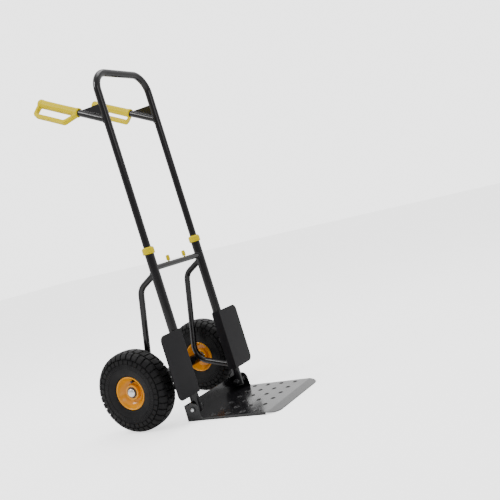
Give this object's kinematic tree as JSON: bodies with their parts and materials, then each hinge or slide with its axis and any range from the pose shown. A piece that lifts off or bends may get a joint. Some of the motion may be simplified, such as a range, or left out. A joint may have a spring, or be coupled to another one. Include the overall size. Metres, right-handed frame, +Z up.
{
  "type": "hand truck",
  "caption": "Two-wheeled hand truck with telescopic handle frame, folding perforated toe plate, knuckle-guard grips and pneumatic tyres.",
  "frame": {"origin": "on the floor, at the middle of the truck's footprint", "axes": "+X to the truck's right seen from behind it, +Y forward towards the toe plate's lip, +Z up"},
  "size_m": [0.493, 0.6188, 1.145],
  "materials": {
    "gloss_black_paint": "gloss powder coat",
    "satin_black_paint": "satin powder coat",
    "yellow_plastic": "lightly textured yellow moulding",
    "yellow_rim_paint": "gloss golden yellow",
    "zinc_steel": "bright zinc plate",
    "spring_steel": "drawn wire",
    "bearing_steel": "ground and polished",
    "tyre_rubber": "moulded rubber",
    "tube_rubber": "soft rubber",
    "black_plastic": "moulded",
    "grey_sleeve_plastic": "moulded"
  },
  "bodies": {
    "frame": {"crossbar": "gloss_black_paint", "axle_tube": "gloss_black_paint", "axle_shaft": "zinc_steel", "rail_end_plugs": "black_plastic", "pivot_bolts": "zinc_steel", "pivot_spacers": "zinc_steel", "pivot_outer_washers": "black_plastic", "pivot_saddle_washers": "black_plastic", "pivot_cap_nuts": "satin_black_paint", "spring_stop": "black_plastic", "lock_pin_guides": "black_plastic", "hub_sleeves": "grey_sleeve_plastic", "bearing_inner_rings": "bearing_steel", "bearing_spacers": "zinc_steel", "axle_washers": "black_plastic", "axle_caps": "zinc_steel", "rail_right": "gloss_black_paint", "side_brace_right": "gloss_black_paint", "wheel_guard_right": "satin_black_paint", "guide_collar_right": "yellow_plastic", "release_spring_right": "spring_steel", "rail_left": "gloss_black_paint", "side_brace_left": "gloss_black_paint", "wheel_guard_left": "satin_black_paint", "guide_collar_left": "yellow_plastic", "release_spring_left": "spring_steel"},
    "handle": {"upper_frame": "gloss_black_paint", "upper_tube_glides": "black_plastic", "handle_tube_right": "gloss_black_paint", "handle_gusset_right": "gloss_black_paint", "hand_grip_right": "yellow_plastic", "handle_tube_left": "gloss_black_paint", "handle_gusset_left": "gloss_black_paint", "hand_grip_left": "yellow_plastic"},
    "toe": {"toe_plate": "satin_black_paint"},
    "release_right": {"release_knob_right": "yellow_plastic", "lock_pin_right": "zinc_steel"},
    "wheel_right": {"tyre_right": "tyre_rubber", "inner_tube_right": "tube_rubber", "rim_outer_right": "yellow_rim_paint", "rim_inner_right": "yellow_rim_paint", "bearing_outer_rings_right": "bearing_steel", "bearing_balls_right": "bearing_steel", "valve_right": "tube_rubber"},
    "release_left": {"release_knob_left": "yellow_plastic", "lock_pin_left": "zinc_steel"},
    "wheel_left": {"tyre_left": "tyre_rubber", "inner_tube_left": "tube_rubber", "rim_outer_left": "yellow_rim_paint", "rim_inner_left": "yellow_rim_paint", "bearing_outer_rings_left": "bearing_steel", "bearing_balls_left": "bearing_steel", "valve_left": "tube_rubber"}
  },
  "joints": [
    {"name": "handle_slide", "type": "slide", "parent": "frame", "child": "handle", "axis": [0, -0.0698, 0.9976], "range_m": [-0.4, 0]},
    {"name": "toe_fold", "type": "hinge", "parent": "frame", "child": "toe", "pos_m": [0, 0.01893, 0.036], "axis": [1, 0, 0], "range_deg": [0, 94]},
    {"name": "release_slide_right", "type": "slide", "parent": "frame", "child": "release_right", "axis": [-1, 0, 0], "range_m": [0, 0.012], "stiffness_N_per_m": 500, "springref_m": -0.01, "deforming": ["release_spring_right"]},
    {"name": "wheel_spin_right", "type": "hinge", "parent": "frame", "child": "wheel_right", "pos_m": [0.204, -0.14302, 0.13], "axis": [1, 0, 0], "continuous": true},
    {"name": "release_slide_left", "type": "slide", "parent": "frame", "child": "release_left", "axis": [1, 0, 0], "range_m": [0, 0.012], "stiffness_N_per_m": 500, "springref_m": -0.01, "deforming": ["release_spring_left"]},
    {"name": "wheel_spin_left", "type": "hinge", "parent": "frame", "child": "wheel_left", "pos_m": [-0.204, -0.14302, 0.13], "axis": [1, 0, 0], "continuous": true}
  ]
}
